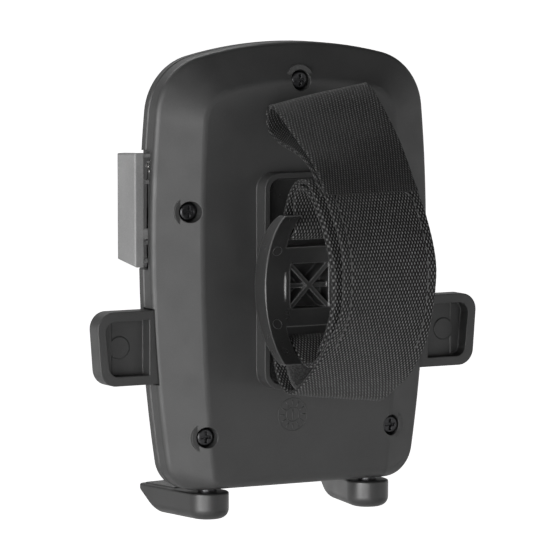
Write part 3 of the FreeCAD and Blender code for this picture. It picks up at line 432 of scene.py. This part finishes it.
def joined(parts):
    """Several (points, faces) pairs as one."""
    points, faces = [], []
    for some_points, some_faces in parts:
        start = len(points)
        points.extend(some_points)
        faces.extend(tuple(start + corner for corner in face) for face in some_faces)
    return points, faces


# ---------------------------------------------------------------- strap

# Each row is (depth, height) of the webbing's left edge, and where two more numbers follow they are
# how far the right edge lies from there.
DOUBLE_LEG_INSIDE = [
    (-31.0, -13.8), (-33.8, -10.7), (-36.0, -6.5), (-37.4, -2.0), (-37.7, 1.8), (-37.0, 6.0),
    (-35.5, 9.9), (-33.5, 14.1), (-31.0, 17.9), (-28.3, 21.0), (-25.4, 23.1)]
HORN_LOOP = [
    (-21.6, 23.8), (-19.3, 20.8), (-19.9, 17.2), (-20.3, 13.6), (-18.2, 11.2), (-15.2, 12.2),
    (-14.6, 15.6), (-16.0, 19.4), (-18.4, 23.2), (-22.4, 25.2), (-26.8, 24.8)]
DOUBLE_LEG_OUTSIDE = [
    (-29.8, 21.4), (-32.3, 18.0), (-34.8, 14.3), (-36.8, 10.2), (-38.2, 6.2), (-38.9, 1.8),
    (-38.6, -2.4), (-37.0, -7.2), (-34.8, -11.6), (-31.2, -15.5)]
LOWER_LOOP = [
    (-26.2, -17.8), (-21.0, -15.4), (-17.0, -12.0), (-12.9, -11.8), (-10.6, -14.4),
    (-10.1, -17.2, 0.0, -1.0), (-10.9, -19.8, 0.0, -2.0), (-12.6, -22.6, 0.5, -2.8),
    (-15.2, -24.5, 0.6, -3.2), (-18.4, -24.6, 0.0, -2.8)]
OUTER_LEG = [
    (-21.8, -23.0, -0.9, -1.8), (-26.6, -19.8, -1.5, -2.1), (-29.5, -17.4, -1.8, -2.1),
    (-32.6, -14.9, -1.7, -1.7), (-36.1, -11.2, -1.6, -1.2), (-39.5, -7.5, -0.3, -0.3),
    (-42.0, -3.5, 1.0, 0.0), (-42.7, 0.6, 0.7, 0.0), (-42.7, 5.6, 0.3, 0.0), (-42.0, 10.5, 0.9, 0.0),
    (-40.2, 14.6, 1.0, 0.0), (-36.4, 19.8, 0.4, 0.0), (-32.6, 24.4, 0.4, 0.0)]
PULL_TAB = [
    (-34.5, 22.5, 0.4, 0.0), (-32.9, 24.5, 0.5, 0.0), (-30.4, 27.6, 0.3, 0.1), (-27.7, 30.0, 0.0, 0.9),
    (-24.4, 32.1, -0.7, 2.2), (-20.8, 34.4, -0.8, 3.3), (-16.8, 36.9, -1.0, 4.2),
    (-12.2, 40.0, -1.6, 4.6), (-8.0, 41.8, -2.2, 4.8), (-6.2, 39.4, -2.0, 4.8),
    (-7.4, 35.9, -1.4, 4.4), (-10.9, 34.0, -1.4, 3.6), (-15.0, 32.8, -1.2, 2.6),
    (-20.5, 31.9, -0.8, 1.2), (-24.9, 30.2, -0.2, 0.2), (-28.2, 27.8), (-31.2, 24.6), (-32.7, 22.3)]


def smooth_line(rows):
    """Dense points on the quadratic spline whose control points are the rows."""
    rows = np.array([(*row, 0.0, 0.0)[:4] for row in rows], float)
    middles = (rows[1:] + rows[:-1]) / 2
    spans = []
    for index in range(1, len(rows) - 1):
        start = rows[0] if index == 1 else middles[index - 1]
        end = rows[-1] if index == len(rows) - 2 else middles[index]
        t = np.linspace(0, 1, 40, endpoint=False)[:, None]
        spans.append((1 - t) ** 2 * start + 2 * t * (1 - t) * rows[index] + t ** 2 * end)
    spans.append(rows[-1:])
    return np.vstack(spans)


class Ribbon:
    """A band of cloth: its mid surface runs between a left and a right edge line."""

    def __init__(self, rows):
        line = smooth_line(rows)
        steps = np.linalg.norm(np.diff(line[:, :2] + line[:, 2:] / 2, axis=0), axis=1)
        self.at = np.concatenate([[0.0], np.cumsum(steps)])
        self.length = float(self.at[-1])
        self.line = line

    def edges(self, s):
        """Left and right edge points (x, y, z) at distances s."""
        values = np.stack([np.interp(s, self.at, self.line[:, k]) for k in range(4)], 1)
        edge_x = np.full(len(s), STRAP_SHIFT - HALF_WIDTH)
        left = np.stack([edge_x, PANEL_Y + values[:, 0], values[:, 1]], 1)
        shift = np.stack([np.full(len(s), 2 * HALF_WIDTH), values[:, 2], values[:, 3]], 1)
        return left, left + shift

    def surface(self, s, x, lift):
        """Points at distance s along, x across, and lift away from the mid surface."""
        s, x = np.asarray(s, float), np.asarray(x, float)
        share = ((x + HALF_WIDTH) / (2 * HALF_WIDTH))[..., None]
        reach = 0.3
        left, right = self.edges(s)
        behind_left, behind_right = self.edges(s - reach)
        ahead_left, ahead_right = self.edges(s + reach)
        middle = left + share * (right - left)
        along = (ahead_left + share * (ahead_right - ahead_left)
                 - behind_left - share * (behind_right - behind_left))
        normal = np.cross(right - left, along)
        normal /= np.linalg.norm(normal, axis=1)[:, None]
        return middle + normal * np.asarray(lift, float)[..., None]

    def distance_at_height(self, height, low_s, high_s):
        """The distance along, between two others, at which the left edge passes a height."""
        inside = (self.at >= low_s) & (self.at <= high_s)
        gaps = np.where(inside, np.abs(self.line[:, 1] - height), 1e9)
        return float(self.at[np.argmin(gaps)])


def band(name, ribbon, start, end, thickness, offset, materials, half, across, along, relief):
    """A closed band on a ribbon from start to end, with rounded selvedges and a woven relief."""
    rows = max(8, round((end - start) / along))
    columns = 2 * round(half / across) + 1
    x = np.linspace(-half, half, columns)
    s = np.linspace(start, end, rows + 1)
    s_grid, x_grid = np.meshgrid(s, x, indexing="ij")
    edge_round, end_round = thickness * 0.5, thickness * 0.35
    near_edge = np.clip((np.abs(x_grid) - (half - edge_round)) / edge_round, 0, 1)
    near_end = np.clip(1 - np.minimum(s_grid - start, end - s_grid) / end_round, 0, 1)
    swell = np.sqrt(np.clip(1 - near_edge ** 2, 0, 1)) * np.sqrt(np.clip(1 - 0.7 * near_end ** 2, 0, 1))
    top = offset + thickness / 2 * swell + relief(s_grid, x_grid, 1) * swell
    bottom = offset - thickness / 2 * swell - relief(s_grid, x_grid, -1) * swell
    upper = ribbon.surface(s_grid.ravel(), x_grid.ravel(), top.ravel()).reshape(rows + 1, columns, 3)
    lower = ribbon.surface(s_grid.ravel(), x_grid.ravel(), bottom.ravel()).reshape(rows + 1, columns, 3)
    rings = np.concatenate([upper, lower[:, -2:0:-1]], 1)
    around = rings.shape[1]
    base = np.arange(rows)[:, None] * around
    here = np.arange(around)[None, :]
    ahead = (here + 1) % around
    faces = np.stack([base + here, base + ahead, base + around + ahead, base + around + here], 2)
    faces = faces.reshape(-1, 4).tolist()
    for ring, flip in ((0, True), (rows, False)):
        for column in range(columns - 1):
            corners = [column, column + 1, (around - column - 1) % around, (around - column) % around]
            corners = list(dict.fromkeys(ring * around + corner for corner in corners))
            faces.append(tuple(corners[::-1] if not flip else corners))
    piece = mesh_piece(name, rings.reshape(-1, 3), faces, materials)
    cloth_x = np.concatenate([x_grid, x_grid[:, -2:0:-1]], 1).ravel()
    cloth_s = np.concatenate([s_grid, s_grid[:, -2:0:-1]], 1).ravel()
    cloth = piece.data.attributes.new("cloth", "FLOAT_VECTOR", "POINT")
    vectors = np.stack([cloth_x, cloth_s, 0 * cloth_s], 1)
    cloth.data.foreach_set("vector", vectors.ravel().astype(np.float32))
    return piece


def crossings(s, x, pitches):
    """Plain weave: +1 on a crown and -1 in the hollow beside it."""
    across, along = pitches
    return np.sin(math.pi * x / across) * np.sin(math.pi * s / along)


def waves(s, x):
    """Slow unevenness of hand-pulled webbing."""
    return 0.10 * np.sin(s / 5.1 + 0.7) * np.cos(x / 6.0) + 0.06 * np.sin(s / 2.3 + x / 3.1)


class Strap:
    """The webbing strap with its hook tape, pull tab and stitching."""

    def __init__(self, materials):
        self.materials = materials
        rows = DOUBLE_LEG_INSIDE + HORN_LOOP + DOUBLE_LEG_OUTSIDE + LOWER_LOOP + OUTER_LEG
        self.web = Ribbon(rows)
        self.tab = Ribbon(PULL_TAB)
        end = self.web.length
        self.seam = end - 1.6
        self.tape_to = self.seam - 2.5
        self.tape_from = self.web.distance_at_height(-17.6, end - 95, end - 65)
        self.stitch_low = self.web.distance_at_height(-12.5, end - 60, end - 20)
        self.line_x = 10.2

    def seam_at(self, x):
        """Distance along of the cross seam, which bows upwards between the two side seams."""
        return self.seam - 1.9 + 1.5 * np.sqrt(np.clip(1 - (np.asarray(x, float) / 11.0) ** 2, 0, 1))

    def web_relief(self, s, x, side):
        weave = 0.085 * crossings(s, x, WEB_WEAVE)
        sewn = (s > self.stitch_low) & (s < self.seam_at(x))
        side_dip = np.exp(-((np.abs(x) - self.line_x) / 0.45) ** 2) * sewn
        seam_dip = np.exp(-((s - self.seam_at(x)) / 0.5) ** 2) * (np.abs(x) < self.line_x)
        dips = -0.22 * side_dip - 0.35 * seam_dip if side > 0 else 0.0
        return weave + dips + side * waves(s, x)

    def tab_relief(self, s, x, side):
        return 0.05 * crossings(s, x + TAB_SLANT * s, TAB_WEAVE) + side * waves(s, x)

    def pile_relief(self, s, x, side):
        draw = np.random.default_rng(7)
        return 0.28 * draw.random(s.shape) if side < 0 else 0.0 * s

    def stitch(self, start, end):
        """One stitch between two (distance, across) points: it dives into the cloth at both ends."""
        share = np.linspace(0, 1, 9)
        s = start[0] + share * (end[0] - start[0])
        x = start[1] + share * (end[1] - start[1])
        arch = np.sin(math.pi * share) ** 0.5
        lift = WEB / 2 - 0.45 + 0.42 * arch
        return tube(self.web.surface(s, x, lift), 0.17, 8)

    def stitching(self):
        """A side seam, the cross seam and the other side seam, as one row of stitches."""
        pitch, gap = 2.9, 0.55
        rise = np.arange(self.stitch_low, self.seam_at(self.line_x) - 0.6, 0.1)
        over = np.arange(-self.line_x, self.line_x, 0.1)
        path = np.concatenate([
            np.stack([rise, np.full(len(rise), -self.line_x)], 1),
            np.stack([self.seam_at(over), over], 1),
            np.stack([rise[::-1], np.full(len(rise), self.line_x)], 1)])
        travelled = np.concatenate([[0], np.cumsum(np.linalg.norm(np.diff(path, axis=0), axis=1))])
        draw = np.random.default_rng(3)
        parts = []
        for begin in np.arange(0.3, travelled[-1] - pitch, pitch):
            reach = pitch - gap + draw.uniform(-0.2, 0.2)
            ends = [[np.interp(mark, travelled, path[:, k]) for k in (0, 1)]
                    for mark in (begin, begin + reach)]
            ends[1][1] += draw.uniform(-0.12, 0.12)
            parts.append(self.stitch(*ends))
        return mesh_piece("strap_stitching", *joined(parts), [self.materials["thread_black"]])

    def build(self):
        webbing = band("strap_band", self.web, 0.0, self.web.length, WEB, 0.0,
                       [self.materials["webbing_black"]], HALF_WIDTH, 0.2, 0.4, self.web_relief)
        tab = band("strap_pull_tab", self.tab, 0.0, self.tab.length, TAB, 0.22,
                   [self.materials["tab_black"]], HALF_WIDTH, 0.36, 0.31, self.tab_relief)
        under = -WEB / 2 - PILE / 2 - 0.05
        tape = band("strap_hook_pile", self.web, self.tape_from, self.tape_to, PILE, under,
                    [self.materials["hook_black"]], TAPE_HALF, 0.3, 0.3, self.pile_relief)
        stitches = self.stitching()
        for piece, slot in ((webbing, "webbing_black"), (tab, "webbing_black"), (tape, "hook_black"),
                            (stitches, "webbing_black")):
            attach(piece, "cradle")
        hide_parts("strap_webbing")
        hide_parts("strap_hook_tape")


# ---------------------------------------------------------------- small moulded and wound pieces

def ring_line(centre, radius, first, second, count=48):
    turns = [2 * math.pi * k / count for k in range(count)]
    return [np.array(centre) + radius * (math.cos(t) * np.array(first) + math.sin(t) * np.array(second))
            for t in turns]


def mould_dial(materials):
    """Plain tick-mark dial moulded on the rear panel."""
    centre = np.array([-2.4, PANEL_Y, -32.2])
    across, up = np.array([1.0, 0.0, 0.0]), np.array([0.0, 0.0, 1.0])
    parts = [tube(ring_line(centre, radius, across, up), 0.11, 6, closed=True) for radius in (3.9, 1.7)]
    for k in range(12):
        turn = 2 * math.pi * k / 12
        ray = math.cos(turn) * across + math.sin(turn) * up
        parts.append(tube([centre + ray * reach for reach in (2.2, 2.8, 3.4)], 0.13, 6))
    parts.append(tube([centre - up * 1.1, centre, centre + up * 1.1], 0.14, 6))
    piece = mesh_piece("mould_dial", *joined(parts), [materials["shell_black"]])
    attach(piece, "cradle")


def ejector_marks(materials):
    """Round moulding marks on the saddle's rails."""
    hollow_centre, hollow_radius = -35.4, 20.5
    parts = []
    for x in (-15.8, 15.8):
        for height in (-8.5, 8.5):
            slope = math.asin(height / hollow_radius)
            inward = np.array([0.0, -math.cos(slope), -math.sin(slope)])
            centre = np.array([x, PANEL_Y + hollow_centre, 0.0]) - inward * (hollow_radius - 0.02)
            along = np.array([0.0, -math.sin(slope), math.cos(slope)])
            parts.append(tube(ring_line(centre, 1.15, (1.0, 0.0, 0.0), along, 28), 0.09, 6, closed=True))
    piece = mesh_piece("saddle_ejector_marks", *joined(parts), [materials["gloss_black"]])
    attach(piece, "cradle")


def coil_spring(name, node, axis, wire, materials):
    """A true helix that fills a CAD spring's box, with its axis along x, y or z (0, 1 or 2)."""
    low, high = (np.array(corner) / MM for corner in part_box(node))
    middle, size = (low + high) / 2, high - low
    others = [k for k in range(3) if k != axis]
    radius = (min(size[k] for k in others) - wire) / 2
    length = size[axis] - wire
    turns = max(1.5, round(length / (wire * 1.35) * 2) / 2)
    count = int(turns * 28)
    line = []
    for k in range(count + 1):
        turn = 2 * math.pi * turns * k / count
        point = np.array(middle)
        point[axis] += length * (k / count - 0.5)
        point[others[0]] += radius * math.cos(turn)
        point[others[1]] += radius * math.sin(turn)
        line.append(point)
    piece = mesh_piece(name, *tube(line, wire / 2, 10), [materials["spring_steel"]])
    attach(piece, "cradle")
    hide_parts(node)


def paint_cad(materials):
    """Every carried-over CAD node gets the finish of its slot in the record."""
    slots = {part["node"]: part["material_slot"] for part in frame["record"]["subparts"]}
    for node, piece in frame["nodes"].items():
        material = materials[slots[node]]
        if not piece.material_slots:
            piece.data.materials.append(material)
        for slot in piece.material_slots:
            slot.material = material


bpy.context.scene.view_settings.view_transform = "Standard"
add_camera()
add_world(0.60, 0.05)
add_floor(0.30)
softbox("key_left", (-1.05, -0.40, 0.06), (0.5, 0.6), 14.0)
softbox("front", (-0.80, -1.08, -0.05), (0.7, 0.4), 8.5)
softbox("rim_top", (-0.1, 0.75, 0.95), (1.2, 0.3), 8.0)
softbox("fill_right", (0.9, -0.8, 0.1), (0.4, 0.6), 0.4)

finishes = make_materials()
paint_cad(finishes)
Strap(finishes).build()
mould_dial(finishes)
ejector_marks(finishes)
coil_spring("arm_spring_coil", "arm_spring", 1, 0.6, finishes)
coil_spring("button_spring_coil", "button_spring", 0, 0.4, finishes)
coil_spring("pawl_spring_coil", "pawl_spring", 1, 0.3, finishes)
